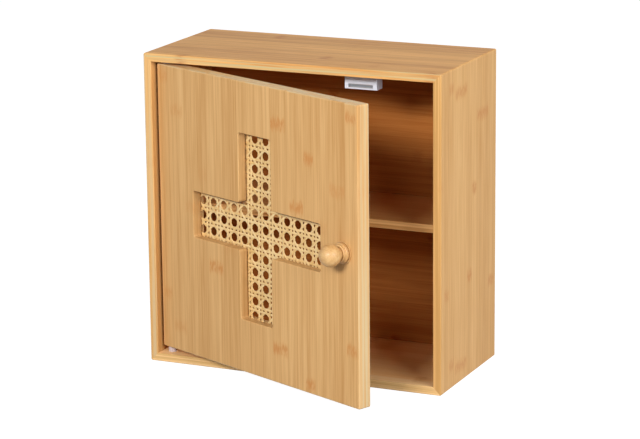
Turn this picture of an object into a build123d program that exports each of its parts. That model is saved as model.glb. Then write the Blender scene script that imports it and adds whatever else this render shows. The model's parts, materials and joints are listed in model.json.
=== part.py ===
from build123d import *
import math
import os

# A bamboo medicine cabinet: a mitred box with one fixed shelf, and an inset door on two pivot pins,
# with a cross-shaped cut-out backed by woven cane. The door stands ajar.
# Sizes are in millimetres. X runs across the front, Y from front to back, Z up.
# The origin is the middle of the box's underside.

# Box
box_width = 300.0
box_height = 300.0
box_depth = 140.0
board_thickness = 8.0
corner_radius = 1.6  # the four long corners of the box
outer_edge_radius = 1.2  # outer edges of the front and back
inner_edge_radius = 0.6  # inner edges of the front and back
spline_thickness = 2.0
spline_width = 5.6
spline_stop = 12.0  # from each end of a spline to the box's front or back
joint_clearance = 0.1  # between a glued or pinned piece and its seat
cut_over = 1.0  # how far a cutting shape runs past what it cuts

# Back panel and hanging rail
back_thickness = 3.0
back_recess = 10.0  # from the back panel to the wall
groove_depth = 3.0
groove_spare = 0.3  # between the back panel's edge and the bottom of its groove
rail_height = 30.0
rail_edge_radius = 1.0
hanging_radius = 2.5
hanging_spacing = 200.0

# Shelf
shelf_thickness = 8.0
shelf_height = 150.0  # middle of the shelf above the underside of the box
shelf_setback = 27.0  # from the front of the box to the shelf
shelf_edge_radius = 1.2
dowel_radius = 2.5
dowel_length = 20.0
dowel_seat = 5.0  # length of a dowel in the side board
dowel_inset = 20.0  # from the shelf's front or back edge
dowel_tip = 0.5

# Door
door_thickness = 14.0
door_setback = 5.2  # from the front of the box to the closed door's face
door_hinge_gap = 4.4  # between the closed door and the left side
door_free_gap = 1.5  # between the closed door and the right side
door_top_gap = 2.5
door_bottom_gap = 6.0
door_edge_radius = 1.3
rest_opening = 24.0  # degrees

# Pivots, each a steel pin in the board and a flanged bush in the door's edge
pivot_inset = 5.2  # from the door's hinge edge
pin_radius = 2.0
pin_seat = 6.0  # length of a pin in the board
pin_reach = 8.0  # length of a pin in the door
pin_tip = 0.5
pin_grip = 0.02  # between a pin and its hole in the board
running_clearance = 0.05
bush_radius = 3.2
bush_length = 10.0
flange_radius = 4.2
flange_thickness = 0.8
washer_radius = 4.0
float_gap = 0.3  # between a washer and the bush's flange

# Cut-out, cane and the strips that hold it
cross_width = 178.3
cross_height = 176.3
cross_rise = 1.0  # from the middle of the door to the middle of the cross
arm_width = 44.5
cross_end_radius = 2.5
cross_inner_radius = 3.0
cross_edge_radius = 0.8
cane_setback = 8.5  # from the door's face to the cane
cane_thickness = 1.2
rebate_margin = 8.0
side_strip_setback = 2.0  # from the cross's left and right ends to the strips behind the cane
cane_pitch_x = 14.9
cane_pitch_z = 13.96
cane_shift_x = 4.2  # from the cross's middle to a large gap
cane_shift_z = -1.1
cane_lean = 0.24  # sideways step from one row of gaps to the next
cane_gap = 7.7  # across the flats of a large, eight-sided gap
cane_square_gap = 1.7
cane_edge = 0.8  # least width of cane left at the sheet's edge
brad_radius = 0.6
brad_head_radius = 1.2
brad_head_height = 0.6
brad_bite = 3.6  # length of a brad in the door's board
brad_inset = 12.0  # from each end of a strip

# Knob
knob_inset = 19.2  # from the door's free edge
knob_rise = 3.1  # from the middle of the door to the knob
knob_ball_radius = 10.1
knob_base_radius = 10.4
knob_base_thickness = 1.6
knob_base_edge = 0.4
knob_bead_radius = 9.6
knob_bead_thickness = 1.8
knob_collar_radius = 8.4
knob_collar_thickness = 2.2
knob_neck_radius = 6.6
knob_neck_length = 2.6
knob_groove_depth = 1.1
insert_radius = 3.0
insert_length = 10.0
screw_radius = 2.0
screw_end_gap = 1.0  # from the screw's tip to the end of the insert
screw_head_radius = 4.0
screw_head_height = 2.2
screw_head_round = 1.3
screw_recess_length = 4.4
screw_recess_width = 1.0
screw_recess_depth = 1.2

# Magnetic catch and its strike plate
catch_offset = 62.7  # from the middle of the box
catch_width = 32.1
catch_depth = 13.6
catch_height = 15.5
catch_edge_radius = 0.8
ear_length = 7.5
ear_thickness = 3.0
ear_depth = 12.0
ear_corner_radius = 2.2
slot_width = 24.2
slot_height = 3.3
slot_rise = 3.4  # from the housing's underside to the middle of the slot
slot_depth = 12.0
pole_thickness = 0.8
pole_depth = 11.0
magnet_setback = 0.6  # behind the pole plates' front edges
strike_width = 32.0
strike_height = 12.0
strike_thickness = 1.2
strike_corner_radius = 2.0
strike_gap = 0.3  # between the strike plate and the catch, door closed
strike_screw_spacing = 22.0
small_screw_radius = 1.4
small_head_radius = 2.6
small_head_height = 1.6
small_head_round = 1.0
catch_screw_bite = 6.0  # length of a screw in the top board
strike_screw_bite = 8.0  # length of a screw in the door

# Places worked out from the sizes above
inner_width = box_width - 2 * board_thickness
inner_top = box_height - board_thickness
inner_height = box_height - 2 * board_thickness
front = -box_depth / 2
back = box_depth / 2
panel_back = back - back_recess
panel_front = panel_back - back_thickness
rail_middle = inner_top - rail_height / 2
shelf_front = front + shelf_setback
shelf_back = panel_front - joint_clearance
door_left = -inner_width / 2 + door_hinge_gap
door_right = inner_width / 2 - door_free_gap
door_bottom = board_thickness + door_bottom_gap
door_top = inner_top - door_top_gap
door_middle = (door_bottom + door_top) / 2
door_face = front + door_setback
door_rear = door_face + door_thickness
pivot_x = door_left + pivot_inset
pivot_y = (door_face + door_rear) / 2
cane_front = door_face + cane_setback
cane_rear = cane_front + cane_thickness
cross_x = (door_left + door_right) / 2
cross_z = door_middle + cross_rise
knob_x = door_right - knob_inset
knob_z = door_middle + knob_rise
catch_front = door_rear + strike_thickness + strike_gap
catch_y = catch_front + catch_depth / 2
catch_bottom = inner_top - catch_height
slot_middle = catch_bottom + slot_rise


def block(low, high):
    """A box between two opposite corners."""
    size = [b - a for a, b in zip(low, high)]
    middle = [(a + b) / 2 for a, b in zip(low, high)]
    return Pos(*middle) * Box(*size)


def rod_x(radius, start, end, y, z):
    """A round bar along X."""
    return Pos((start + end) / 2, y, z) * Rot(0, 90, 0) * Cylinder(radius, end - start)


def rod_y(radius, start, end, x, z):
    """A round bar along Y."""
    return Pos(x, (start + end) / 2, z) * Rot(90, 0, 0) * Cylinder(radius, end - start)


def rod_z(radius, start, end, x, y):
    """A round bar along Z."""
    return Pos(x, y, (start + end) / 2) * Cylinder(radius, end - start)


def slab(sketch, near, far):
    """A flat shape in X and Z, given thickness from near to far along Y."""
    return extrude(Plane((0, far, 0), x_dir=(1, 0, 0), z_dir=(0, -1, 0)) * sketch, far - near)


def swing(shape):
    """Turns a piece of the closed door about the pivots to where the door stands ajar."""
    return shape.rotate(Axis((pivot_x, pivot_y, 0), (0, 0, 1)), -rest_opening)


def save(name, *solids):
    """Writes one node, as a single solid or as a group of separate ones."""
    shape = solids[0] if len(solids) == 1 else Compound(children=list(solids))
    export_step(shape, os.path.join("parts", name + ".step"))


def box_ring():
    """The whole mitred box before it is parted at the corners, with its edges eased."""
    outline = Pos(0, box_height / 2) * RectangleRounded(box_width, box_height, corner_radius)
    opening = Pos(0, box_height / 2) * Rectangle(inner_width, inner_height)
    ring = slab(outline - opening, front, back)
    ends = [ring.faces().sort_by(Axis.Y)[0], ring.faces().sort_by(Axis.Y)[-1]]
    outer = [edge for end in ends for edge in end.outer_wire().edges()]
    ring = fillet(outer, min(outer_edge_radius, 0.9 * corner_radius))
    ends = [ring.faces().sort_by(Axis.Y)[0], ring.faces().sort_by(Axis.Y)[-1]]
    inner = [edge for end in ends for edge in end.inner_wires()[0].edges()]
    return fillet(inner, inner_edge_radius)


def corner_wedge(side):
    """The part of space between two mitre planes that one board keeps."""
    first, last = {
        "left": ((-1, -1), (-1, 1)),
        "right": ((1, -1), (1, 1)),
        "top": ((-1, 1), (1, 1)),
        "bottom": ((-1, -1), (1, -1)),
    }[side]
    outside = [mitre_point(*first, -cut_over), mitre_point(*last, -cut_over)]
    inside = [mitre_point(*last, board_thickness + cut_over), mitre_point(*first, board_thickness + cut_over)]
    return slab(make_face(Polyline(*outside, *inside, close=True)), front - cut_over, back + cut_over)


def mitre_point(side, level, inward):
    """X and Z of a point on a corner's mitre line, that far in from the outer corner."""
    return side * (box_width / 2 - inward), box_height / 2 + level * (box_height / 2 - inward)


def corner_splines():
    """Thin hidden strips that cross each mitre, stopped short of the front and back."""
    splines = []
    length = box_depth - 2 * spline_stop
    for side in (-1, 1):
        for level in (-1, 1):
            x = side * (box_width - board_thickness) / 2
            z = box_height / 2 + level * (box_height - board_thickness) / 2
            strip = Rot(0, 45 * side * level, 0) * Box(spline_width, length, spline_thickness)
            splines.append(Pos(x, 0, z) * strip)
    return splines


def shelf_dowels(spare=0.0):
    """Four dowels between the side boards and the shelf, or their holes if spare is given."""
    dowels = []
    for side in (-1, 1):
        for y in (shelf_front + dowel_inset, shelf_back - dowel_inset):
            outer = side * (inner_width / 2 + dowel_seat + spare)
            inner = side * (inner_width / 2 + dowel_seat - dowel_length - spare)
            start, end = sorted((outer, inner))
            dowel = rod_x(dowel_radius + spare, start, end, y, shelf_height)
            dowels.append(dowel if spare else chamfer(dowel.edges(), dowel_tip))
    return dowels


def hinge_pin(level, spare=0.0):
    """The pivot pin at the bottom (-1) or the top (1), or its hole in the board if spare is given."""
    if level < 0:
        start, end = board_thickness - pin_seat, door_bottom + pin_reach
    else:
        start, end = door_top - pin_reach, inner_top + pin_seat
    pin = rod_z(pin_radius + spare, start - spare, end + spare, pivot_x, pivot_y)
    return pin if spare else chamfer(pin.edges(), pin_tip)


def hinge_washer(level):
    """The plastic washer that lies against the board and spaces the door from it."""
    if level < 0:
        start, end = board_thickness, door_bottom - flange_thickness - float_gap
    else:
        start, end = door_top + flange_thickness + float_gap, inner_top
    ring = rod_z(washer_radius, start, end, pivot_x, pivot_y)
    bore = rod_z(pin_radius + running_clearance, start - cut_over, end + cut_over, pivot_x, pivot_y)
    return ring - bore


def bush_solid(level, spare=0.0):
    """The outside of a door bush without its flange, or its hole in the door if spare is given."""
    edge = door_bottom if level < 0 else door_top
    inward = edge - level * bush_length
    start, end = sorted((edge, inward - level * spare))
    return rod_z(bush_radius + spare, start, end, pivot_x, pivot_y)


def door_bush(level):
    """The flanged plastic bush in the door's lower or upper edge, bored blind for the pin."""
    edge = door_bottom if level < 0 else door_top
    start, end = sorted((edge, edge + level * flange_thickness))
    bush = bush_solid(level) + rod_z(flange_radius, start, end, pivot_x, pivot_y)
    bore_end = edge - level * (pin_reach + float_gap)
    start, end = sorted((edge + level * (flange_thickness + cut_over), bore_end))
    return bush - rod_z(pin_radius + running_clearance, start, end, pivot_x, pivot_y)


def catch_places():
    """X of the two screws in the catch's ears."""
    reach = catch_width / 2 + ear_length / 2
    return (catch_offset - reach, catch_offset + reach)


def catch_housing():
    """The catch's plastic housing, with a slot for the magnet and an ear at each side."""
    left = catch_offset - catch_width / 2
    right = catch_offset + catch_width / 2
    rear = catch_front + catch_depth
    body = block((left, catch_front, catch_bottom), (right, rear, inner_top))
    rounded = body.edges().filter_by(Axis.Z) + body.edges().filter_by(Axis.X).group_by(Axis.Z)[0]
    body = fillet(rounded, catch_edge_radius)
    near = catch_y - ear_depth / 2
    ears = block(
        (left - ear_length, near, inner_top - ear_thickness),
        (right + ear_length, near + ear_depth, inner_top),
    )
    body += fillet(ears.edges().filter_by(Axis.Z), ear_corner_radius)
    half_width = slot_width / 2 + joint_clearance / 2
    half_height = slot_height / 2 + joint_clearance / 2
    body -= block(
        (catch_offset - half_width, catch_front - cut_over, slot_middle - half_height),
        (catch_offset + half_width, catch_front + slot_depth, slot_middle + half_height),
    )
    seat = inner_top - ear_thickness
    for x in catch_places():
        body -= rod_z(small_screw_radius + joint_clearance, seat - cut_over, inner_top + cut_over, x, catch_y)
    return body


def pole_plates():
    """Two thin steel plates, one on each side of the magnet."""
    plates = []
    for level in (-1, 1):
        outer = slot_middle + level * slot_height / 2
        start, end = sorted((outer, outer - level * pole_thickness))
        low = (catch_offset - slot_width / 2, catch_front + joint_clearance, start)
        high = (catch_offset + slot_width / 2, catch_front + joint_clearance + pole_depth, end)
        plates.append(block(low, high))
    return plates


def catch_magnet():
    """The flat magnet between the pole plates."""
    near = catch_front + joint_clearance + magnet_setback
    half = slot_height / 2 - pole_thickness
    far = catch_front + joint_clearance + pole_depth
    reach = slot_width / 2 - magnet_setback
    return block(
        (catch_offset - reach, near, slot_middle - half),
        (catch_offset + reach, far, slot_middle + half),
    )


def catch_screws(spare=0.0):
    """The two screws in the catch's ears, or their pilot holes in the top board if spare is given."""
    screws = []
    seat = inner_top - ear_thickness
    for x in catch_places():
        shank = rod_z(small_screw_radius + spare, seat, inner_top + catch_screw_bite + spare, x, catch_y)
        head = rod_z(small_head_radius, seat - small_head_height, seat, x, catch_y)
        head = fillet(head.edges().group_by(Axis.Z)[0], small_head_round)
        screws.append(shank if spare else shank + head)
    return screws


def left_side(ring, splines):
    side = ring & corner_wedge("left")
    return side - splines - back_groove() - shelf_dowels(joint_clearance / 2)


def right_side(ring, splines):
    side = ring & corner_wedge("right")
    return side - splines - back_groove() - shelf_dowels(joint_clearance / 2)


def top_panel(ring, splines):
    panel = ring & corner_wedge("top")
    panel = panel - splines - back_groove() - catch_screws(joint_clearance / 2)
    return panel - hinge_pin(1, pin_grip)


def bottom_panel(ring, splines):
    panel = ring & corner_wedge("bottom")
    return panel - splines - back_groove() - hinge_pin(-1, pin_grip)


def back_groove():
    """The groove round the inside of the box that holds the back panel."""
    reach = inner_width / 2 + groove_depth
    return block(
        (-reach, panel_front - joint_clearance, board_thickness - groove_depth),
        (reach, panel_back + joint_clearance, inner_top + groove_depth),
    )


def hanging_holes():
    """Two holes through the back panel and the hanging rail, for screws into a wall."""
    return [
        rod_y(hanging_radius, panel_front - cut_over, back + cut_over, x, rail_middle)
        for x in (-hanging_spacing / 2, hanging_spacing / 2)
    ]


def back_panel():
    reach = inner_width / 2 + groove_depth - groove_spare
    low = board_thickness - groove_depth + groove_spare
    high = inner_top + groove_depth - groove_spare
    return block((-reach, panel_front, low), (reach, panel_back, high)) - hanging_holes()


def hanging_rail():
    """The strip behind the back panel, level with the back of the box, that carries it on a wall."""
    reach = inner_width / 2 - joint_clearance
    rail = block((-reach, panel_back, inner_top - rail_height), (reach, back, inner_top))
    rear_edges = rail.edges().filter_by(Axis.X).group_by(Axis.Y)[-1]
    return fillet(rear_edges, rail_edge_radius) - hanging_holes()


def shelf():
    reach = inner_width / 2 - joint_clearance
    half = shelf_thickness / 2
    board = block((-reach, shelf_front, shelf_height - half), (reach, shelf_back, shelf_height + half))
    front_edges = board.edges().filter_by(Axis.X).group_by(Axis.Y)[0]
    return fillet(front_edges, shelf_edge_radius) - shelf_dowels(joint_clearance / 2)


def cross_sketch(grow=0.0):
    """The cross, grown all round."""
    arm = arm_width + 2 * grow
    return Rectangle(cross_width + 2 * grow, arm) + Rectangle(arm, cross_height + 2 * grow)


def cut_out_sketch():
    """The cross with its corners eased as a router leaves them."""
    cross = cross_sketch()
    corners = cross.vertices().sort_by_distance((0, 0, 0))
    cross = fillet(corners[:4], cross_inner_radius)
    tips = [v for v in cross.vertices() if is_arm_tip(v)]
    return fillet(tips, cross_end_radius)


def is_arm_tip(vertex):
    """Whether a corner of the cross is at the end of one of its arms."""
    past_x = abs(vertex.X) - cross_width / 2
    past_z = abs(vertex.Y) - cross_height / 2
    return max(past_x, past_z) > -joint_clearance


def on_door(sketch):
    """Places a flat shape on the closed door, about the middle of the cross."""
    return Pos(cross_x, cross_z) * sketch


def strip_spans():
    """Each strip round the back of the cut-out: its inner and outer corner, from the cross's middle."""
    gap = joint_clearance
    half = arm_width / 2
    outer = half + rebate_margin - gap
    end_x = cross_width / 2
    end_z = cross_height / 2
    near_x = end_x + side_strip_setback
    far_x = end_x + rebate_margin - gap
    far_z = end_z + rebate_margin - gap
    spans = {}
    for side, end in ((-1, "left"), (1, "right")):
        spans[f"strip_{end}_end"] = ((side * near_x, -outer), (side * far_x, outer))
        for level, edge in ((-1, "lower"), (1, "upper")):
            start = (side * half, level * half)
            spans[f"strip_{end}_{edge}"] = (start, (side * (near_x - gap), level * outer))
    for level, end in ((-1, "bottom"), (1, "top")):
        spans[f"strip_{end}_end"] = ((-outer, level * end_z), (outer, level * far_z))
        for side, edge in ((-1, "left"), (1, "right")):
            start = (side * half, level * (outer + gap))
            spans[f"strip_{end}_{edge}"] = (start, (side * outer, level * (end_z - gap)))
    return spans


def brad_places():
    """X and Z of two brads near the ends of each strip, in the middle of the rebate."""
    inset = (rebate_margin - joint_clearance) / 2
    places = []
    for (x1, z1), (x2, z2) in strip_spans().values():
        if abs(x2 - x1) > abs(z2 - z1):
            line = z2 - math.copysign(inset, z2)
            places += [(x, line) for x in near_ends(x1, x2)]
        else:
            line = x2 - math.copysign(inset, x2)
            places += [(line, z) for z in near_ends(z1, z2)]
    return places


def near_ends(start, end):
    """Where the two brads of a strip lie along it."""
    step = math.copysign(brad_inset, end - start)
    return (start + step, end - step)


def brads(spare=0.0):
    """The brads that hold the strips, or their holes if spare is given."""
    made = []
    rear = door_rear - joint_clearance
    for x, z in brad_places():
        place = (cross_x + x, cross_z + z)
        brad = rod_y(brad_radius + spare, cane_front - brad_bite - spare, rear, *place)
        brad += rod_y(brad_head_radius + spare, rear - brad_head_height - spare, rear + spare, *place)
        made.append(brad)
    return made


def cane_strips():
    """The bamboo strips that hold the cane in the rebate at the back of the door, by name."""
    holes = brads(joint_clearance / 2)
    strips = {}
    for name, ((x1, z1), (x2, z2)) in strip_spans().items():
        low = (cross_x + min(x1, x2), cane_rear, cross_z + min(z1, z2))
        high = (cross_x + max(x1, x2), door_rear - joint_clearance, cross_z + max(z1, z2))
        strips[name] = block(low, high) - holes
    return strips


def cane_webbing():
    """The woven cane as one sheet, with its large and square gaps in leaning rows."""
    large = Rot(0, 0, 22.5) * RegularPolygon(cane_gap / 2, 8, major_radius=False)
    square = Rectangle(cane_square_gap, cane_square_gap)
    columns = int(cross_width / cane_pitch_x)
    rows = int(cross_height / cane_pitch_z)
    gaps = []
    for row in range(-rows, rows):
        for column in range(-columns, columns):
            x = cane_shift_x + column * cane_pitch_x + row * cane_lean
            z = cane_shift_z + row * cane_pitch_z
            if inside_sheet(x, z, cane_gap / 2):
                gaps.append(Pos(x, z) * large)
            x += (cane_pitch_x + cane_lean) / 2
            z += cane_pitch_z / 2
            if inside_sheet(x, z, cane_square_gap / 2):
                gaps.append(Pos(x, z) * square)
    sheet = cross_sketch(rebate_margin - joint_clearance) - gaps
    return slab(on_door(sheet), cane_front, cane_rear) - brads(joint_clearance / 2)


def inside_sheet(x, z, reach):
    """Whether a gap of that reach lies well inside the sheet of cane."""
    margin = rebate_margin - cane_edge - reach
    along_x = abs(x) < cross_width / 2 + margin and abs(z) < arm_width / 2 + margin
    along_z = abs(z) < cross_height / 2 + margin and abs(x) < arm_width / 2 + margin
    return along_x or along_z


def door_panel():
    """The door's board, rounded all round, cut out and rebated, and drilled for what it carries."""
    board = block((door_left, door_face, door_bottom), (door_right, door_rear, door_top))
    board = fillet(board.edges(), door_edge_radius)
    board -= slab(on_door(cut_out_sketch()), door_face - cut_over, door_rear + cut_over)
    face = board.faces().sort_by(Axis.Y)[0]
    board = fillet(face.inner_wires()[0].edges(), cross_edge_radius)
    board -= slab(on_door(cross_sketch(rebate_margin)), cane_front, door_rear + cut_over)
    board -= brads(joint_clearance / 2)
    board -= rod_y(screw_radius + joint_clearance, door_face - cut_over, door_rear + cut_over, knob_x, knob_z)
    board -= strike_screws(joint_clearance / 2)
    for level in (-1, 1):
        board -= bush_solid(level, joint_clearance / 2)
    return board


def knob_profile():
    """Half of the knob's outline: radius against distance from the door's face."""
    base_top = knob_base_thickness
    bead_top = base_top + knob_bead_thickness
    collar_top = bead_top + knob_collar_thickness
    ball_start = collar_top + knob_neck_length
    ball_centre = ball_start + (knob_ball_radius**2 - knob_neck_radius**2) ** 0.5
    tip = (0, ball_centre + knob_ball_radius)
    bead_root = (knob_bead_radius - knob_groove_depth, base_top)
    collar_root = (knob_collar_radius - knob_groove_depth, bead_top)
    neck_root = (knob_neck_radius - knob_groove_depth, collar_top)
    ball_root = (knob_neck_radius, ball_start)
    base = [
        (0, 0),
        (knob_base_radius - knob_base_edge, 0),
        (knob_base_radius, knob_base_edge),
        (knob_base_radius, base_top - knob_base_edge),
        bead_root,
    ]
    outline = Polyline(*base)
    outline += ThreePointArc(bead_root, (knob_bead_radius, (base_top + bead_top) / 2), collar_root)
    outline += ThreePointArc(collar_root, (knob_collar_radius, (bead_top + collar_top) / 2), neck_root)
    outline += Line(neck_root, ball_root)
    outline += ThreePointArc(ball_root, (knob_ball_radius, ball_centre), tip)
    outline += Line(tip, (0, 0))
    return make_face(outline)


def knob():
    """The turned ball knob with its ringed collar, bored for the threaded insert."""
    turned = Pos(knob_x, door_face, knob_z) * Rot(180, 0, 0) * revolve(knob_profile(), Axis.Y)
    bore_end = door_face - insert_length - joint_clearance
    return turned - rod_y(insert_radius + joint_clearance / 2, bore_end, door_face + cut_over, knob_x, knob_z)


def knob_insert():
    """The brass sleeve in the knob that takes the screw."""
    near = door_face - insert_length
    sleeve = rod_y(insert_radius, near, door_face, knob_x, knob_z)
    bore = rod_y(screw_radius + running_clearance, near - cut_over, door_face + cut_over, knob_x, knob_z)
    return sleeve - bore


def knob_screw():
    """The pan-head screw from the back of the door into the knob, with a cross recess."""
    near = door_face - insert_length + screw_end_gap
    shank = rod_y(screw_radius, near, door_rear, knob_x, knob_z)
    head = rod_y(screw_head_radius, door_rear, door_rear + screw_head_height, knob_x, knob_z)
    head = fillet(head.edges().group_by(Axis.Y)[-1], screw_head_round)
    recess = Box(screw_recess_length, screw_recess_depth * 2, screw_recess_width)
    recess += Box(screw_recess_width, screw_recess_depth * 2, screw_recess_length)
    return shank + head - Pos(knob_x, door_rear + screw_head_height, knob_z) * recess


def strike_places():
    """X of the strike plate's two screws."""
    return [catch_offset + side * strike_screw_spacing / 2 for side in (-1, 1)]


def strike_screws(spare=0.0):
    """The countersunk screws of the strike plate, or their holes if spare is given."""
    screws = []
    seat = door_rear + strike_thickness
    for x in strike_places():
        shank = rod_y(small_screw_radius + spare, door_rear - strike_screw_bite - spare, seat, x, slot_middle)
        drop = small_head_radius - small_screw_radius
        cone = Cone(small_head_radius + spare, small_screw_radius + spare, drop)
        screws.append(shank + Pos(x, seat - drop / 2, slot_middle) * Rot(90, 0, 0) * cone)
    return screws


def strike_plate():
    """The steel plate on the back of the door that meets the catch."""
    plate = RectangleRounded(strike_width, strike_height, strike_corner_radius)
    plate = slab(Pos(catch_offset, slot_middle) * plate, door_rear, door_rear + strike_thickness)
    return plate - strike_screws(joint_clearance / 2)


def main():
    os.makedirs("parts", exist_ok=True)
    ring = box_ring()
    splines = corner_splines()
    save("left_side", left_side(ring, splines))
    save("right_side", right_side(ring, splines))
    save("top_panel", top_panel(ring, splines))
    save("bottom_panel", bottom_panel(ring, splines))
    save("corner_splines", *splines)
    save("back_panel", back_panel())
    save("hanging_rail", hanging_rail())
    save("shelf", shelf())
    save("shelf_dowels", *shelf_dowels())
    save("hinge_pin_bottom", hinge_pin(-1))
    save("hinge_pin_top", hinge_pin(1))
    save("hinge_washer_bottom", hinge_washer(-1))
    save("hinge_washer_top", hinge_washer(1))
    save("catch_housing", catch_housing())
    save("catch_magnet", catch_magnet())
    for name, plate in zip(("catch_pole_plate_lower", "catch_pole_plate_upper"), pole_plates()):
        save(name, plate)
    save("catch_screws", *catch_screws())
    save("door_panel", swing(door_panel()))
    save("door_bush_bottom", swing(door_bush(-1)))
    save("door_bush_top", swing(door_bush(1)))
    save("cane_webbing", swing(cane_webbing()))
    for name, strip in cane_strips().items():
        save(name, swing(strip))
    save("strip_brads", *[swing(brad) for brad in brads()])
    save("knob", swing(knob()))
    save("knob_insert", swing(knob_insert()))
    save("knob_screw", swing(knob_screw()))
    save("strike_plate", swing(strike_plate()))
    save("strike_screws", *[swing(screw) for screw in strike_screws()])


main()
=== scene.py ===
import bpy
import json
from math import pi, radians, tau
from mathutils import Matrix, Vector


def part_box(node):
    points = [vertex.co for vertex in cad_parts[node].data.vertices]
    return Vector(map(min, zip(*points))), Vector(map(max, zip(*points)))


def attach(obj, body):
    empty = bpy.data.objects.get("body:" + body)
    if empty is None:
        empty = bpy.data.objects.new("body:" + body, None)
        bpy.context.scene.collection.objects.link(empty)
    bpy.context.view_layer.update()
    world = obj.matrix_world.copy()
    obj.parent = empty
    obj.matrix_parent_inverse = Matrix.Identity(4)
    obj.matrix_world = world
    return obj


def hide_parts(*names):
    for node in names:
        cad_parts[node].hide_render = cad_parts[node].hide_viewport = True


# Finishes the boards and fittings of the medicine cabinet, weaves the cane of its door and lights it in a
# plain studio. Lengths are in metres
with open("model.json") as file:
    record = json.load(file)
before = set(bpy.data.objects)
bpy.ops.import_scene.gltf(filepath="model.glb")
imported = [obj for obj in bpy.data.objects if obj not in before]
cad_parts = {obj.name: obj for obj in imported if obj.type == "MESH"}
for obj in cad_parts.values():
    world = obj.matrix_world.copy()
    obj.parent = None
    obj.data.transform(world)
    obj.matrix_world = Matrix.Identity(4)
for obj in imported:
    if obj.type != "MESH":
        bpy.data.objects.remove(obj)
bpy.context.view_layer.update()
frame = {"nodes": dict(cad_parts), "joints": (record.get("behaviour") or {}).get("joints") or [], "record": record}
nodes = frame["nodes"]
scene = bpy.context.scene
scene.view_settings.view_transform = "Standard"

# The door stands ajar at rest. Its joint's lowest value is where it's closed
hinge = frame["joints"][0]
pivot = Vector(hinge["pos_m"])
doorTurn = Matrix.Rotation(radians(hinge["range_deg"][0]), 4, "Z")
doorToRest = Matrix.Translation(pivot) @ doorTurn @ Matrix.Translation(-pivot)
doorToClosed = doorToRest.inverted()


# Nodes

def addSockets(tree, kind, names, way="INPUT"):
    for name in names:
        tree.interface.new_socket(name=name, in_out=way, socket_type="NodeSocket" + kind)


def node(tree, kind, **settings):
    made = tree.nodes.new(kind)
    for name, value in settings.items():
        setattr(made, name, value)
    return made


def feed(tree, entry, value):
    # Links a socket to the entry, or sets a plain value on it
    if isinstance(value, bpy.types.NodeSocket):
        tree.links.new(value, entry)
    else:
        entry.default_value = value


def result(tree, kind, entries, **settings):
    # The first output of a new node, whose entries are given in order or by name
    made = node(tree, kind, **settings)
    for key, value in entries.items() if isinstance(entries, dict) else enumerate(entries):
        feed(tree, made.inputs[key], value)
    return made.outputs[0]


def calculate(tree, operation, *values):
    return result(tree, "ShaderNodeMath", values, operation=operation)


def calculateVector(tree, operation, *values):
    return result(tree, "ShaderNodeVectorMath", values, operation=operation)


def combine(tree, operation, values):
    # One value from several, such as their product or the largest
    total = values[0]
    for value in values[1:]:
        total = calculate(tree, operation, total, value)
    return total


def vectorOf(tree, x=0.0, y=0.0, z=0.0):
    return result(tree, "ShaderNodeCombineXYZ", (x, y, z))


def partsOf(tree, vector):
    made = node(tree, "ShaderNodeSeparateXYZ")
    tree.links.new(vector, made.inputs[0])
    return made.outputs


def ramp(tree, value, low, high, start=0.0, end=1.0):
    # A smooth step from start at low to end at high
    entries = {"Value": value, "From Min": low, "From Max": high, "To Min": start, "To Max": end}
    return result(tree, "ShaderNodeMapRange", entries, interpolation_type="SMOOTHSTEP")


def mixColour(tree, factor, first, second, blend="MIX"):
    made = node(tree, "ShaderNodeMix", data_type="RGBA", blend_type=blend)
    entries = {entry.identifier: entry for entry in made.inputs}
    feed(tree, entries["Factor_Float"], factor)
    for name, colour in (("A_Color", first), ("B_Color", second)):
        feed(tree, entries[name], (*colour, 1) if isinstance(colour, tuple) else colour)
    return next(mixed for mixed in made.outputs if mixed.identifier == "Result_Color")


def stretched(tree, vector, scale, size, detail=2.0, roughness=0.5):
    # Noise drawn out along one way
    drawn = calculateVector(tree, "MULTIPLY", vector, scale)
    entries = {"Vector": drawn, "Scale": size, "Detail": detail, "Roughness": roughness}
    return result(tree, "ShaderNodeTexNoise", entries)


def onObject(tree):
    return node(tree, "ShaderNodeTexCoord").outputs["Object"]


def placeOf(tree, turn, shift=(0, 0, 0)):
    # Where a point is on the object, turned and then shifted
    entries = {"Vector": onObject(tree), "Location": shift, "Rotation": turn.to_euler()}
    return result(tree, "ShaderNodeMapping", entries)


def newMaterial(name):
    material = bpy.data.materials.new(name)
    material.use_nodes = True
    return material, material.node_tree, material.node_tree.nodes["Principled BSDF"]


def addBump(tree, shader, height, strength, distance):
    entries = {"Strength": strength, "Distance": distance, "Height": height}
    tree.links.new(result(tree, "ShaderNodeBump", entries), shader.inputs["Normal"])


# Camera and room

camera = {
    "place": (1.0234, -2.2581, 0.7552),
    "ahead": (-0.4011, 0.8835, -0.2419),
    "roll": radians(-0.603),
    "lens": 151.2,
    "sensor": 36.0,
}

room = {
    "world": 0.03,
    "floorColour": (0.28, 0.28, 0.28),
    "floorRoughness": 0.8,
    "floorShine": 0.1,
    "floorSize": 6.0,
    "floorGlow": 0.92,
    # name: place, what it points at, width, height, power
    "lights": {
        "key": ((-0.083, -2.42, 1.25), (0.0, -0.07, 0.15), 0.9, 0.45, 51.5),
        "front": ((0.685, -2.31, 1.27), (0.0, -0.07, 0.15), 0.4, 0.4, 6.0),
        "right": ((2.02, -1.06, 0.97), (0.0, -0.05, 0.15), 1.6, 1.2, 49.0),
        "overhead": ((0.6, 1.3, 2.2), (0.0, -0.05, 0.2), 1.4, 1.2, 14.0),
    },
}


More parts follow.
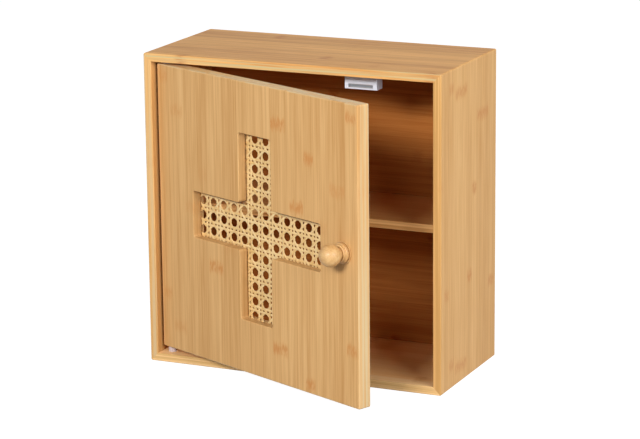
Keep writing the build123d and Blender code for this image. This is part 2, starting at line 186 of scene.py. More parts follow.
def addCamera():
    back = -Vector(camera["ahead"]).normalized()
    level = Vector((0, 0, 1)).cross(back).normalized()
    turn = Matrix((level, back.cross(level), back)).transposed().to_4x4()
    eye = bpy.data.objects.new("camera", bpy.data.cameras.new("camera"))
    eye.data.lens = camera["lens"]
    eye.data.sensor_width = camera["sensor"]
    eye.matrix_world = Matrix.Translation(camera["place"]) @ turn @ Matrix.Rotation(camera["roll"], 4, "Z")
    scene.collection.objects.link(eye)
    scene.camera = eye


def addLights():
    for name, (place, target, width, height, power) in room["lights"].items():
        lamp = bpy.data.lights.new(name, "AREA")
        lamp.shape = "RECTANGLE"
        lamp.size = width
        lamp.size_y = height
        lamp.energy = power
        holder = bpy.data.objects.new(name, lamp)
        aim = (Vector(target) - Vector(place)).to_track_quat("-Z", "Y")
        holder.matrix_world = Matrix.Translation(place) @ aim.to_matrix().to_4x4()
        scene.collection.objects.link(holder)


def mixForEye(tree, lit, shown):
    # What lights the object, and what the camera, a reflection or clear glass shows instead
    path = node(tree, "ShaderNodeLightPath").outputs
    rays = [path[name] for name in ("Is Camera Ray", "Is Glossy Ray", "Is Transmission Ray")]
    return result(tree, "ShaderNodeMixShader", (combine(tree, "MAXIMUM", rays), lit, shown))


def addWorld():
    world = bpy.data.worlds.new("studio")
    scene.world = world
    world.use_nodes = True
    tree = world.node_tree
    tree.nodes.clear()
    white = (1, 1, 1, 1)
    lit = result(tree, "ShaderNodeBackground", {"Color": white, "Strength": room["world"]})
    shown = result(tree, "ShaderNodeBackground", {"Color": white, "Strength": 1.0})
    tree.links.new(mixForEye(tree, lit, shown), node(tree, "ShaderNodeOutputWorld").inputs["Surface"])


def addFloor():
    half = room["floorSize"] / 2
    corners = [(-half, -half, 0), (half, -half, 0), (half, half, 0), (-half, half, 0)]
    mesh = bpy.data.meshes.new("floor")
    mesh.from_pydata(corners, [], [(0, 1, 2, 3)])
    floor = bpy.data.objects.new("floor", mesh)
    scene.collection.objects.link(floor)
    material, tree, shader = newMaterial("paleFloor")
    shader.inputs["Base Color"].default_value = (*room["floorColour"], 1)
    shader.inputs["Roughness"].default_value = room["floorRoughness"]
    shader.inputs["Specular IOR Level"].default_value = room["floorShine"]
    lit = shader.outputs[0]
    glow = result(tree, "ShaderNodeEmission", {"Strength": room["floorGlow"]})
    shown = result(tree, "ShaderNodeAddShader", (lit, glow))
    tree.links.new(mixForEye(tree, lit, shown), tree.nodes["Material Output"].inputs["Surface"])
    mesh.materials.append(material)


addCamera()
addLights()
addWorld()
addFloor()
print("room ready")


# Laminated bamboo

# What every board has in common
laminate = {
    "driftScale": 34.0,  # how quickly the strips change width across a board
    "drift": 1.1,  # how many strips' widths it comes to
    "shift": 3.0,  # of the fibres from strip to strip
    # name: how far it is drawn out each way, fineness, detail, roughness
    "noises": {
        "broad": ((1, 1, 0.012), 260.0, 3.0, 0.65),
        "fine": ((1, 1, 0.016), 1000.0, 2.0, 0.6),
        "cloudy": ((1, 1, 0.12), 45.0, 2.0, 0.5),
        "ragged": ((1, 1, 0.1), 420.0, 2.0, 0.5),
        "speckled": ((1, 1, 0.3), 640.0, 2.0, 0.5),
        "layers": ((0.1, 1, 0.012), 330.0, 2.0, 0.6),
    },
    # name: how much it darkens
    "weights": {"strip": 0.3, "broad": 0.42, "fine": 0.36, "cloudy": 0.5},
    # name: where its smooth step begins and ends
    "contrast": {"broad": (0.32, 0.68), "fine": (0.34, 0.66), "layers": (0.36, 0.64)},
    "raggedness": 0.012,  # of a joint's edge
    # what a joint fades with: from, to, and how strong the joint is at each
    "jointFades": {
        "distance": (0.001, 0.0085, 1.0, 0.0),
        "speckle": (0.32, 0.62, 0.3, 1.0),
        "stripStart": (0.02, 0.1, 0.0, 1.0),
        "stripEnd": (0.98, 0.9, 0.0, 1.0),
        "chance": (0.2, 0.8, 0.15, 0.9),
    },
    "jointDepth": 0.4,  # as a share of the fibres' height
    "roughness": (0.25, 0.75, 0.36, 0.5),  # from, to, and the roughness at each
    "bump": (0.12, 0.0004),  # strength, height
}

# Colours are as an eye reads them off a screen, 0 to 255. The inside tint is painted shade: it darkens the faces
# within the box, the walls of the cross and the grooves of the knob. Rim says along which axes a board ends in a
# pale edge
bamboo = {
    "doorFace": {
        "grain": "upright", "seed": 2.3, "width": 0.0185, "spacing": 0.21, "shine": 0.15,
        "light": (226, 182, 124), "dark": (196, 146, 88), "joint": (202, 138, 76),
        "rim": "xz", "edge": (208, 183, 140), "inside": (0.9, 0.91, 0.92)},
    "doorStrips": {
        "grain": "upright", "seed": 7.1, "width": 0.02, "spacing": 0.3, "shine": 0.15,
        "light": (224, 180, 122), "dark": (200, 150, 92), "joint": (202, 138, 76)},
    "leftBoard": {
        "grain": "sideways", "seed": 4.7, "width": 0.019, "spacing": 0.26, "shine": 0.1,
        "light": (230, 184, 122), "dark": (202, 150, 88), "joint": (200, 136, 74),
        "rim": "y", "edge": (212, 180, 134), "inside": (0.7, 0.45, 0.27)},
    "rightBoard": {
        "grain": "sideways", "seed": 4.7, "width": 0.019, "spacing": 0.26, "shine": 0.1,
        "light": (230, 184, 122), "dark": (202, 150, 88), "joint": (200, 136, 74),
        "rim": "y", "edge": (190, 144, 86), "inside": (0.7, 0.45, 0.27)},
    "topBoard": {
        "grain": "flat", "seed": 1.9, "width": 0.017, "spacing": 0.25, "shine": 0.04,
        "light": (240, 186, 115), "dark": (188, 132, 76), "joint": (186, 124, 70),
        "rim": "y", "edge": (196, 179, 132), "inside": (0.7, 0.45, 0.27)},
    # The bottom board and the shelf are paler than the other boards and darkened less within the box: painted
    # light, so their upper faces look lit where the door shades them
    "bottomBoard": {
        "grain": "flat", "seed": 3.1, "width": 0.017, "spacing": 0.25, "shine": 0.08,
        "light": (252, 214, 160), "dark": (236, 190, 130), "joint": (200, 140, 84),
        "rim": "y", "edge": (210, 168, 108), "inside": (1.0, 0.9, 0.78)},
    "shelfBoard": {
        "grain": "flat", "seed": 5.5, "width": 0.018, "spacing": 0.26, "shine": 0.1,
        "light": (232, 186, 126), "dark": (210, 158, 98), "joint": (195, 130, 72),
        "rim": "y", "edge": (250, 210, 150), "inside": (1.0, 0.85, 0.7)},
    "backBoard": {
        "grain": "level", "seed": 8.2, "width": 0.022, "spacing": 0.28, "shine": 0.05,
        "light": (232, 180, 118), "dark": (196, 140, 80), "joint": (180, 116, 60),
        "inside": (0.7, 0.47, 0.29)},
    "railBoard": {
        "grain": "level", "seed": 3.3, "width": 0.018, "spacing": 0.3, "shine": 0.15,
        "light": (222, 178, 118), "dark": (200, 152, 94), "joint": (195, 130, 72)},
    "knobWood": {
        "grain": "level", "seed": 6.4, "width": 0.012, "spacing": 0.5, "shine": 0.45,
        "light": (214, 176, 120), "dark": (186, 138, 82), "joint": (190, 124, 66),
        "inside": (0.55, 0.38, 0.22)},
}

# Turns that bring a board's grain to Z and its width to X
grain = {
    "upright": Matrix.Identity(3),
    "sideways": Matrix(((0, 1, 0), (-1, 0, 0), (0, 0, 1))),
    "flat": Matrix(((0, 1, 0), (0, 0, 1), (1, 0, 0))),
    "level": Matrix(((0, 0, 1), (0, -1, 0), (1, 0, 0))),
}

# Where a board's colour changes
zones = {
    "rimWidth": 0.0008,
    "rimBlur": 0.0004,
    # The entries from here place the painted shade: within the box, on the walls of the cross and in the knob's
    # grooves
    "insideEdge": 0.0008,  # from a board's inner face into the board
    "insideStart": (0.01, 0.016),  # behind the front of the box
    "wallInset": (0.003, 0.0002, 0.003),  # from the door's outer faces
    "blur": 0.0003,
    "knobGrooves": (0.0016, 0.0034, 0.0056),  # from the face of the door
    "groove": (0.0001, 0.0004),  # where it begins and ends to fade, from its middle
}


def sRGB(red, green, blue):
    parts = [value / 255 for value in (red, green, blue)]
    return tuple(part / 12.92 if part <= 0.04045 else ((part + 0.055) / 1.055) ** 2.4 for part in parts)


def stripsOf(tree, given, across):
    # Strips of uneven width: how far across its strip a point is, and the strip's own random numbers
    drift = {
        "W": calculate(tree, "ADD", across, given["Seed"]),
        "Scale": laminate["driftScale"],
        "Detail": 0.0,
    }
    drifted = result(tree, "ShaderNodeTexNoise", drift, noise_dimensions="1D")
    drifted = calculate(tree, "MULTIPLY", drifted, laminate["drift"])
    place = calculate(tree, "ADD", calculate(tree, "DIVIDE", across, given["Strip Width"]), drifted)
    chance = node(tree, "ShaderNodeTexWhiteNoise", noise_dimensions="3D")
    strip = vectorOf(tree, calculate(tree, "FLOOR", place), given["Seed"])
    tree.links.new(strip, chance.inputs["Vector"])
    tones = node(tree, "ShaderNodeSeparateColor")
    tree.links.new(chance.outputs["Color"], tones.inputs[0])
    return calculate(tree, "FRACT", place), chance.outputs["Value"], tones.outputs


def jointPatch(tree, given, along, inStrip, tones, noises):
    # Joints of the cane: a ragged, more orange patch on each strip, now and then
    place = calculate(tree, "DIVIDE", along, given["Joint Spacing"])
    place = calculate(tree, "ADD", place, tones[1])
    away = calculate(tree, "SUBTRACT", calculate(tree, "FRACT", place), 0.5)
    away = calculate(tree, "MULTIPLY", away, given["Joint Spacing"])
    ragged = calculate(tree, "SUBTRACT", noises["ragged"], 0.5)
    away = calculate(tree, "MULTIPLY_ADD", ragged, laminate["raggedness"], away)
    fading = {
        "distance": calculate(tree, "ABSOLUTE", away),
        "speckle": noises["speckled"],
        "stripStart": inStrip,
        "stripEnd": inStrip,
        "chance": tones[2],
    }
    fades = [ramp(tree, fading[name], *ends) for name, ends in laminate["jointFades"].items()]
    return combine(tree, "MULTIPLY", fades)


def makeBambooGroup():
    # Strips lie side by side across X, with layers through Y. The fibres and joints of the cane follow Z
    tree = bpy.data.node_groups.new("laminatedBamboo", "ShaderNodeTree")
    addSockets(tree, "Vector", ["Vector"])
    addSockets(tree, "Float", ["Strip Width", "Joint Spacing", "Seed", "Edge Amount", "Painted Shade Amount"])
    addSockets(tree, "Color", ["Light", "Dark", "Joint", "Edge", "Inside"])
    addSockets(tree, "Color", ["Colour"], "OUTPUT")
    addSockets(tree, "Float", ["Roughness", "Height"], "OUTPUT")
    given = node(tree, "NodeGroupInput").outputs
    out = node(tree, "NodeGroupOutput").inputs
    across, _, along = partsOf(tree, given["Vector"])
    inStrip, chance, tones = stripsOf(tree, given, across)
    shift = vectorOf(tree, z=calculate(tree, "MULTIPLY", chance, laminate["shift"]))
    moved = calculateVector(tree, "ADD", given["Vector"], shift)
    noises = {name: stretched(tree, moved, *drawn) for name, drawn in laminate["noises"].items()}
    clear = {name: ramp(tree, noises[name], *ends) for name, ends in laminate["contrast"].items()}
    patch = jointPatch(tree, given, along, inStrip, tones, noises)
    shares = {
        "strip": tones[0],
        "broad": clear["broad"],
        "fine": clear["fine"],
        "cloudy": calculate(tree, "SUBTRACT", noises["cloudy"], 0.5),
    }
    weights = laminate["weights"]
    darkness = [calculate(tree, "MULTIPLY", share, weights[name]) for name, share in shares.items()]
    colour = mixColour(tree, combine(tree, "ADD", darkness), given["Light"], given["Dark"])
    colour = mixColour(tree, patch, colour, given["Joint"])

    # Sanded edges are paler and show the layers
    edge = mixColour(tree, clear["layers"], given["Edge"], colour)
    colour = mixColour(tree, given["Edge Amount"], colour, edge)
    # Painted shade, multiplied into the colour where the mask given for it is 1
    colour = mixColour(tree, given["Painted Shade Amount"], colour, given["Inside"], "MULTIPLY")
    tree.links.new(colour, out["Colour"])
    tree.links.new(ramp(tree, noises["fine"], *laminate["roughness"]), out["Roughness"])
    sunk = calculate(tree, "MULTIPLY", patch, laminate["jointDepth"])
    tree.links.new(calculate(tree, "SUBTRACT", noises["fine"], sunk), out["Height"])
    return tree


def spanOf(members, toHome, axis):
    # The middle and half length of some pieces along one axis, with the door closed
    along = [(toHome @ corner.co)[axis] for name in members for corner in nodes[name].data.vertices]
    return (min(along) + max(along)) / 2, (max(along) - min(along)) / 2


def closedDoor():
    # The corners of the closed door
    spans = [spanOf(["door_panel"], doorToClosed, axis) for axis in range(3)]
    low = Vector([middle - half for middle, half in spans])
    high = Vector([middle + half for middle, half in spans])
    return low, high


def fromMiddle(tree, value, middle):
    return calculate(tree, "ABSOLUTE", calculate(tree, "SUBTRACT", value, middle))


def rimMask(tree, place, members, toHome, axes):
    # 1 near the ends of the pieces along the given axes
    near = []
    for axis in ("xyz".index(letter) for letter in axes):
        middle, half = spanOf(members, toHome, axis)
        start = half - zones["rimWidth"]
        away = fromMiddle(tree, place[axis], middle)
        near.append(ramp(tree, away, start - zones["rimBlur"], start + zones["rimBlur"]))
    return combine(tree, "MAXIMUM", near)


def insideMask(tree, place):
    # Where painted shade goes: 1 on the faces within the box, between its boards and behind the door
    low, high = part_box("left_side")
    thickness = high.x - low.x
    middle = (low.z + high.z) / 2
    front = low.y
    rear = sum(corner.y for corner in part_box("back_panel")) / 2
    within = []
    for axis, centre, outer in ((0, 0.0, -low.x), (2, middle, high.z - middle)):
        start = outer - thickness + zones["insideEdge"]
        away = fromMiddle(tree, place[axis], centre)
        within.append(ramp(tree, away, start, start + zones["blur"], 1.0, 0.0))
    within.append(ramp(tree, place[1], *[front + start for start in zones["insideStart"]]))
    within.append(calculate(tree, "LESS_THAN", place[1], rear))
    return combine(tree, "MULTIPLY", within)


def wallShadeMask(tree, place):
    # Where painted shade goes: 1 on the walls of the cross, between the faces of the door and away from its outer
    # edges
    low, high = closedDoor()
    within = []
    for axis, inset in enumerate(zones["wallInset"]):
        end = (high[axis] - low[axis]) / 2 - inset
        away = fromMiddle(tree, place[axis], (low[axis] + high[axis]) / 2)
        within.append(ramp(tree, away, end - zones["blur"], end, 1.0, 0.0))
    return combine(tree, "MULTIPLY", within)


def grooveShadeMask(tree, place):
    # Where painted shade goes: 1 in the turned grooves of the knob
    face = closedDoor()[0].y
    middles = [face - depth for depth in zones["knobGrooves"]]
    grooves = [ramp(tree, fromMiddle(tree, place[1], y), *zones["groove"], 1.0, 0.0) for y in middles]
    return combine(tree, "MAXIMUM", grooves)


def bambooMaterial(name, members, toHome):
    look = bamboo[name]
    material, tree, shader = newMaterial(name)
    boards = node(tree, "ShaderNodeGroup", node_tree=bambooGroup)
    turn = grain[look["grain"]] @ toHome.to_3x3()
    tree.links.new(placeOf(tree, turn), boards.inputs["Vector"])
    for entry, key in (("Strip Width", "width"), ("Joint Spacing", "spacing"), ("Seed", "seed")):
        boards.inputs[entry].default_value = look[key]
    for entry, key in (("Light", "light"), ("Dark", "dark"), ("Joint", "joint"), ("Edge", "edge")):
        boards.inputs[entry].default_value = (*sRGB(*look.get(key, look["light"])), 1)
    place = partsOf(tree, placeOf(tree, toHome, toHome.translation))
    if "rim" in look:
        rim = rimMask(tree, place, members, toHome, look["rim"])
        tree.links.new(rim, boards.inputs["Edge Amount"])
    # Painted shade on the faces within the box, on the walls of the cross and in the knob's grooves
    if "inside" in look:
        boards.inputs["Inside"].default_value = (*look["inside"], 1)
        makeMask = {"doorFace": wallShadeMask, "knobWood": grooveShadeMask}.get(name, insideMask)
        tree.links.new(makeMask(tree, place), boards.inputs["Painted Shade Amount"])
    tree.links.new(boards.outputs["Colour"], shader.inputs["Base Color"])
    tree.links.new(boards.outputs["Roughness"], shader.inputs["Roughness"])
    addBump(tree, shader, boards.outputs["Height"], *laminate["bump"])
    shader.inputs["Specular IOR Level"].default_value = look["shine"]
    return material


bambooGroup = makeBambooGroup()


# Plastic, metal and plain wood, each a little uneven in colour, roughness and surface

plain = {
    "whitePlastic": {
        "colour": (217, 220, 230), "dark": 0.96, "roughness": (0.3, 0.42), "metallic": 0.0,
        "size": 900.0, "stretch": (1, 1, 1), "bump": 0.08},
    # A darker copy of the white plastic for the washers and bushes: its pinkish grey is partly the plastic's own
    # tone, partly painted shade from the door above
    "shadedPivotPlastic": {
        "colour": (206, 192, 194), "dark": 0.92, "roughness": (0.4, 0.55), "metallic": 0.0,
        "size": 900.0, "stretch": (1, 1, 1), "bump": 0.08},
    "zincSteel": {
        "colour": (196, 200, 205), "dark": 0.82, "roughness": (0.28, 0.46), "metallic": 1.0,
        "size": 700.0, "stretch": (0.15, 1, 1), "bump": 0.12},
    "magnetGrey": {
        "colour": (128, 134, 140), "dark": 0.85, "roughness": (0.5, 0.65), "metallic": 0.0,
        "size": 1200.0, "stretch": (1, 1, 1), "bump": 0.2},
    "turnedBrass": {
        "colour": (212, 172, 92), "dark": 0.88, "roughness": (0.25, 0.4), "metallic": 1.0,
        "size": 800.0, "stretch": (1, 0.2, 1), "bump": 0.1},
    "beechDowel": {
        "colour": (222, 190, 146), "dark": 0.88, "roughness": (0.5, 0.65), "metallic": 0.0,
        "size": 500.0, "stretch": (0.05, 1, 1), "bump": 0.15},
}

unevenness = {
    "detail": 3.0,
    "colour": (0.3, 0.7),  # where the noise turns from light to dark
    "roughness": (0.25, 0.75),
    "bumpDistance": 0.0002,
}


def plainMaterial(name):
    look = plain[name]
    material, tree, shader = newMaterial(name)
    speckle = stretched(tree, onObject(tree), look["stretch"], look["size"], unevenness["detail"])
    light = sRGB(*look["colour"])
    dark = tuple(part * look["dark"] for part in light)
    colour = mixColour(tree, ramp(tree, speckle, *unevenness["colour"]), light, dark)
    roughness = ramp(tree, speckle, *unevenness["roughness"], *look["roughness"])
    tree.links.new(colour, shader.inputs["Base Color"])
    tree.links.new(roughness, shader.inputs["Roughness"])
    shader.inputs["Metallic"].default_value = look["metallic"]
    addBump(tree, shader, speckle, look["bump"], unevenness["bumpDistance"])
    return material


# Which pieces wear what

wears = {
    "doorFace": ["door_panel"],
    "doorStrips": [name for name in nodes if name.startswith("strip_") and name != "strip_brads"],
    "leftBoard": ["left_side", "corner_splines"],
    "rightBoard": ["right_side"],
    "topBoard": ["top_panel"],
    "bottomBoard": ["bottom_panel"],
    "shelfBoard": ["shelf"],
    "backBoard": ["back_panel"],
    "railBoard": ["hanging_rail"],
    "knobWood": ["knob"],
    "whitePlastic": ["catch_housing"],
    "shadedPivotPlastic": ["hinge_washer_top", "hinge_washer_bottom", "door_bush_top", "door_bush_bottom"],
    "zincSteel": ["hinge_pin_top", "hinge_pin_bottom", "catch_pole_plate_lower", "catch_pole_plate_upper",
                  "catch_screws", "strip_brads", "knob_screw", "strike_plate", "strike_screws"],
    "magnetGrey": ["catch_magnet"],
    "turnedBrass": ["knob_insert"],
    "beechDowel": ["shelf_dowels"],
}


def dressNodes():
    onDoor = frame["record"]["behaviour"]["bodies"]["door"]
    for name, members in wears.items():
        if name in plain:
            material = plainMaterial(name)
        else:
            material = bambooMaterial(name, members, doorToClosed if members[0] in onDoor else Matrix())
        for member in members:
            nodes[member].data.materials.clear()
            nodes[member].data.materials.append(material)


dressNodes()
print("boards and fittings dressed")


# Woven cane

# Strands lie in upright and level pairs, with single strands both ways aslant between the pairs
cane = {
    "pitchAcross": 0.014895,
    "pitchUp": 0.01396,
    "lean": 0.0172,  # sideways for each metre up
    "gapPlace": (0.0042, -0.0011),  # from the middle of the cross to a large gap
    "width": {"Upright": 0.0028, "Level": 0.0024, "Slant": 0.0024},
    "space": {"Upright": 0.00215, "Level": 0.00185},  # from the middle of a pair to the middle of a strand
    "thickness": 0.00036,
    "pairRise": 0.0002,  # how far the strands of a pair go over and under
    "slantRise": 0.00025,
    "slantHold": 1.7,  # how long a slanting strand stays over or under
    "margin": 0.0055,  # how far the cane runs on behind the board
    "reach": 9,  # pitches each way from the middle
    "perPitch": 10,  # points along a strand
    "profile": 8,  # points round a strand
    # kind, side of its pair or way of its lean, and 1 or -1 for over or under
    "families": (("Upright", -1.0, -1.0), ("Upright", 1.0, 1.0), ("Level", -1.0, 1.0), ("Level", 1.0, -1.0),
                 ("Slant", 1.0, 1.0), ("Slant", -1.0, -1.0)),
    "strandStep": 0.73,  # apart in the noise
    "familyStep": 20.0,
}

splitCane = {
    "light": (244, 212, 154),
    "dark": (226, 184, 116),
    "fibres": ((14, 22, 5.3), 1.0, 3.0),  # drawn out along the strand, fineness, detail
    "patches": ((0.5, 30, 7.7), 1.0, 1.0),
    "fibreWeight": 0.6,
    "contrast": (0.35, 0.65),
    "roughness": (0.3, 0.7, 0.3, 0.42),
    "bump": (0.15, 0.0002),
    "shade": (0.42, 0.28, 0.15),  # a tint where little light gets in
    "shadeUnder": 0.0033,  # how far it reaches from an edge of the cross
    "shadeBeside": 0.0008,
    "shadeBlur": 0.0006,
}

# The cut-out in the door. Rise is from the middle of the door to the middle of the cross
cross = {"width": 0.1783, "height": 0.1763, "arm": 0.0445, "rise": 0.001}


def crossMiddle():
    # The middle of the cross on the sheet of cane, with the door closed
    low, high = closedDoor()
    return Vector(((low.x + high.x) / 2, spanOf(["cane_webbing"], doorToClosed, 1)[0],
                   (low.z + high.z) / 2 + cross["rise"]))


def caneShade(tree):
    # 1 on the cane close under an upper edge of the cross or beside a left one, where it is darkened as painted
    # shade
    x, _, z = partsOf(tree, placeOf(tree, doorToClosed, doorToClosed.translation - crossMiddle()))
    arm = cross["arm"] / 2
    upper = (z, -1.0, x, cross["height"] / 2, splitCane["shadeUnder"])
    left = (x, 1.0, z, cross["width"] / 2, splitCane["shadeBeside"])
    shades = []
    for value, sign, other, half, reach in (upper, left):
        beyondArm = calculate(tree, "GREATER_THAN", calculate(tree, "ABSOLUTE", other), arm)
        edge = calculate(tree, "SUBTRACT", half, calculate(tree, "MULTIPLY", beyondArm, half - arm))
        away = calculate(tree, "MULTIPLY_ADD", value, sign, edge)
        shades.append(ramp(tree, away, reach, reach + splitCane["shadeBlur"], 1.0, 0.0))
    return combine(tree, "MAXIMUM", shades)


def caneMaterial():
    material, tree, shader = newMaterial("splitCane")
    marks = [node(tree, "ShaderNodeAttribute", attribute_name=name) for name in ("across", "along", "strand")]
    place = vectorOf(tree, *[mark.outputs["Fac"] for mark in marks])
    fibres = stretched(tree, place, *splitCane["fibres"])
    patches = stretched(tree, place, *splitCane["patches"])
    patchWeight = 1 - splitCane["fibreWeight"]
    darkness = calculate(tree, "MULTIPLY", fibres, splitCane["fibreWeight"])
    darkness = calculate(tree, "MULTIPLY_ADD", patches, patchWeight, darkness)
    darkness = ramp(tree, darkness, *splitCane["contrast"])
    colour = mixColour(tree, darkness, sRGB(*splitCane["light"]), sRGB(*splitCane["dark"]))
    # Painted shade on the cane under the upper edges of the cross and beside its left ones
    colour = mixColour(tree, caneShade(tree), colour, splitCane["shade"], "MULTIPLY")
    tree.links.new(colour, shader.inputs["Base Color"])
    tree.links.new(ramp(tree, fibres, *splitCane["roughness"]), shader.inputs["Roughness"])
    addBump(tree, shader, fibres, *splitCane["bump"])
    return material


def caneSizes():
    # The named inputs of the cane's node tree
    margin = cane["margin"]
    sizes = {
        "Pitch Across": cane["pitchAcross"],
        "Pitch Up": cane["pitchUp"],
        "Lean": cane["lean"],
        "Gap X": cane["gapPlace"][0],
        "Gap Y": cane["gapPlace"][1],
        "Thickness": cane["thickness"],
        "Pair Rise": cane["pairRise"],
        "Slant Rise": cane["slantRise"],
        "Half Width": cross["width"] / 2 + margin,
        "Half Height": cross["height"] / 2 + margin,
        "Half Arm": cross["arm"] / 2 + margin,
    }
    sizes.update({kind + " Width": width for kind, width in cane["width"].items()})
    sizes.update({kind + " Space": space for kind, space in cane["space"].items()})
    return sizes


def marked(tree, geometry, name, value, domain="POINT"):
    # Keeps a value on the geometry for the material
    entries = {"Geometry": geometry, "Name": name, "Value": value}
    return result(tree, "GeometryNodeStoreNamedAttribute", entries, data_type="FLOAT", domain=domain)


def lineOf(tree, count, offset, start):
    entries = {"Count": count, "Offset": offset, "Start Location": start}
    return result(tree, "GeometryNodeMeshLine", entries, mode="OFFSET")


def flatProfile(tree, given, kind):
    # The section of a strand, from a ring 1 across
    ring = result(tree, "GeometryNodeCurvePrimitiveCircle", {"Resolution": cane["profile"], "Radius": 0.5})
    around = node(tree, "GeometryNodeSplineParameter").outputs["Factor"]
    ring = marked(tree, ring, "across", around)
    size = vectorOf(tree, given[kind + " Width"], given["Thickness"], 1.0)
    return result(tree, "GeometryNodeTransform", {"Geometry": ring, "Scale": size})


def strandLines(tree, given, home, kind, side, seed):
    # Straight rows of points for one family of strands, on one side of its pairs or leaning to one side
    reach = cane["reach"]
    rows = 2 * reach + 1
    pitch = vectorOf(tree, given["Pitch Across"], given["Pitch Up"])
    way = {"Upright": (0.0, 1.0, 0.0), "Level": (1.0, 0.0, 0.0), "Slant": (side, 1.0, 0.0)}[kind]
    along = calculateVector(tree, "MULTIPLY", pitch, way)
    perPitch = float(cane["perPitch"])
    step = calculateVector(tree, "DIVIDE", along, (perPitch, perPitch, 1.0))
    start = calculateVector(tree, "MULTIPLY_ADD", along, (-reach, -reach, 0.0), home)
    strand = lineOf(tree, 2 * reach * cane["perPitch"] + 1, step, start)

    apart = (0.0, 1.0, 0.0) if kind == "Level" else (1.0, 0.0, 0.0)
    between = calculateVector(tree, "MULTIPLY", pitch, apart)
    if kind == "Slant":
        # Slanting strands run off sideways, so it takes twice as many to fill the cross
        rows = 2 * rows
        reach = 2 * reach
        aside = calculateVector(tree, "MULTIPLY", between, (0.5, 0.5, 0.0))
    else:
        space = calculate(tree, "MULTIPLY", given[kind + " Space"], side)
        aside = calculateVector(tree, "MULTIPLY", vectorOf(tree, space, space), apart)
    first = calculateVector(tree, "MULTIPLY_ADD", between, (-reach, -reach, 0.0), aside)
    points = lineOf(tree, rows, between, first)
    placed = result(tree, "GeometryNodeInstanceOnPoints", {"Points": points, "Instance": strand})
    index = node(tree, "GeometryNodeInputIndex").outputs[0]
    number = calculate(tree, "MULTIPLY_ADD", index, cane["strandStep"], seed)
    return result(tree, "GeometryNodeRealizeInstances", [marked(tree, placed, "strand", number, "INSTANCE")])


def trimmedToCross(tree, given, geometry, place):
    # Leaves what lies in one arm of the cross or the other
    def within(axis, name):
        sizes = {"A": calculate(tree, "ABSOLUTE", place[axis]), "B": given[name]}
        return result(tree, "FunctionNodeCompare", sizes, data_type="FLOAT", operation="LESS_THAN")

    def decide(operation, first, second):
        return result(tree, "FunctionNodeBooleanMath", (first, second), operation=operation)

    levelArm = decide("AND", within(0, "Half Width"), within(1, "Half Arm"))
    uprightArm = decide("AND", within(0, "Half Arm"), within(1, "Half Height"))
    outside = decide("NOR", levelArm, uprightArm)
    entries = {"Geometry": geometry, "Selection": outside}
    return result(tree, "GeometryNodeDeleteGeometry", entries, domain="POINT")


def overAndUnder(tree, given, home, place, kind):
    # From 1 to -1, over and under, from how far along its pitch a point is
    axis = 1 if kind == "Upright" else 0
    pitch = given["Pitch Up" if kind == "Upright" else "Pitch Across"]
    away = calculate(tree, "SUBTRACT", place[axis], partsOf(tree, home)[axis])
    phase = calculate(tree, "WRAP", calculate(tree, "DIVIDE", away, pitch), 0.5, -0.5)

    def held(value):
        return calculate(tree, "MAXIMUM", calculate(tree, "MINIMUM", value, 1.0), -1.0)

    if kind == "Slant":
        wave = calculate(tree, "COSINE", calculate(tree, "MULTIPLY", phase, tau))
        return held(calculate(tree, "MULTIPLY", wave, cane["slantHold"]))
    # A strand goes over one strand of the pair it crosses and under the other
    crossed = given["Upright Space" if kind == "Level" else "Level Space"]
    near = calculate(tree, "MULTIPLY", phase, pitch)
    quarter = held(calculate(tree, "DIVIDE", near, calculate(tree, "MULTIPLY", crossed, 2.0)))
    return calculate(tree, "SINE", calculate(tree, "MULTIPLY", quarter, pi))


def strandFamily(tree, given, home, kind, side, over, seed):
    lines = strandLines(tree, given, home, kind, side, seed)
    place = partsOf(tree, node(tree, "GeometryNodeInputPosition").outputs[0])
    wave = overAndUnder(tree, given, home, place, kind)
    rise = calculate(tree, "MULTIPLY", wave, given["Slant Rise" if kind == "Slant" else "Pair Rise"])
    offset = vectorOf(tree, calculate(tree, "MULTIPLY", place[1], given["Lean"]), 0.0,
                      calculate(tree, "MULTIPLY", rise, over))
    trimmed = trimmedToCross(tree, given, lines, place)
    woven = result(tree, "GeometryNodeSetPosition", {"Geometry": trimmed, "Offset": offset})
    curve = result(tree, "GeometryNodeMeshToCurve", [woven])
    curve = result(tree, "GeometryNodeSetCurveNormal", {"Curve": curve}, mode="Z_UP")
    length = node(tree, "GeometryNodeSplineParameter").outputs["Length"]
    return result(tree, "GeometryNodeCurveToMesh", {
        "Curve": marked(tree, curve, "along", length),
        "Profile Curve": flatProfile(tree, given, kind),
        "Fill Caps": True,
    })


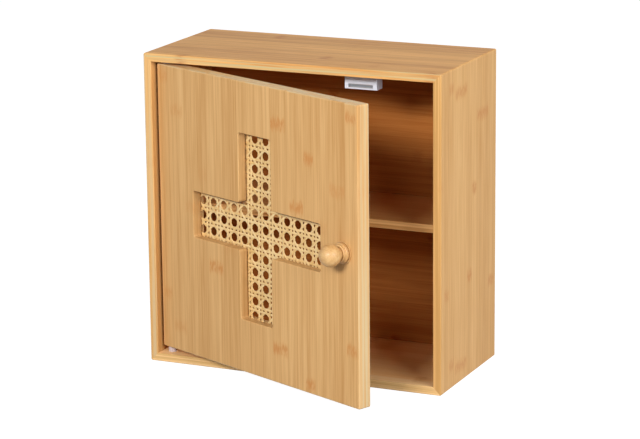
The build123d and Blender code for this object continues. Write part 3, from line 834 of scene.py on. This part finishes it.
def makeCaneTree():
    # Built flat: X across, Y up, Z towards the front, the middle of the cross at the origin
    tree = bpy.data.node_groups.new("caneWeave", "GeometryNodeTree")
    addSockets(tree, "Float", caneSizes())
    addSockets(tree, "Material", ["Material"])
    addSockets(tree, "Geometry", ["Geometry"], "OUTPUT")
    given = node(tree, "NodeGroupInput").outputs

    # A crossing of two pairs lies half a pitch each way from a large gap
    pitch = vectorOf(tree, given["Pitch Across"], given["Pitch Up"])
    gap = vectorOf(tree, given["Gap X"], given["Gap Y"])
    home = calculateVector(tree, "MULTIPLY_ADD", pitch, (0.5, 0.5, 0.0), gap)
    joined = node(tree, "GeometryNodeJoinGeometry")
    for number, (kind, side, over) in enumerate(cane["families"]):
        family = strandFamily(tree, given, home, kind, side, over, number * cane["familyStep"])
        tree.links.new(family, joined.inputs[0])
    whole = result(tree, "GeometryNodeRealizeInstances", [joined.outputs[0]])
    painted = result(tree, "GeometryNodeSetMaterial", {"Geometry": whole, "Material": given["Material"]})
    tree.links.new(painted, node(tree, "NodeGroupOutput").inputs[0])
    return tree


def evaluatedMesh(name, tree, values):
    # Runs a node tree with named values and keeps its result as a plain mesh
    carrier = bpy.data.objects.new(name, bpy.data.meshes.new(name + "Carrier"))
    scene.collection.objects.link(carrier)
    modifier = carrier.modifiers.new("weave", "NODES")
    modifier.node_group = tree
    for entry in tree.interface.items_tree:
        if entry.item_type == "SOCKET" and entry.in_out == "INPUT":
            modifier[entry.identifier] = values[entry.name]
    graph = bpy.context.evaluated_depsgraph_get()
    mesh = bpy.data.meshes.new_from_object(carrier.evaluated_get(graph), depsgraph=graph)
    carrier.modifiers.remove(modifier)
    carrier.data = mesh
    return carrier


def weaveCane():
    woven = evaluatedMesh("woven_cane", makeCaneTree(), {**caneSizes(), "Material": caneMaterial()})
    stand = Matrix.Translation(crossMiddle()) @ Matrix.Rotation(radians(90), 4, "X")
    woven.data.transform(doorToRest @ stand)
    for face in woven.data.polygons:
        face.use_smooth = True
    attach(woven, "door")
    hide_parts("cane_webbing")
    print("cane woven:", len(woven.data.polygons), "faces")


weaveCane()
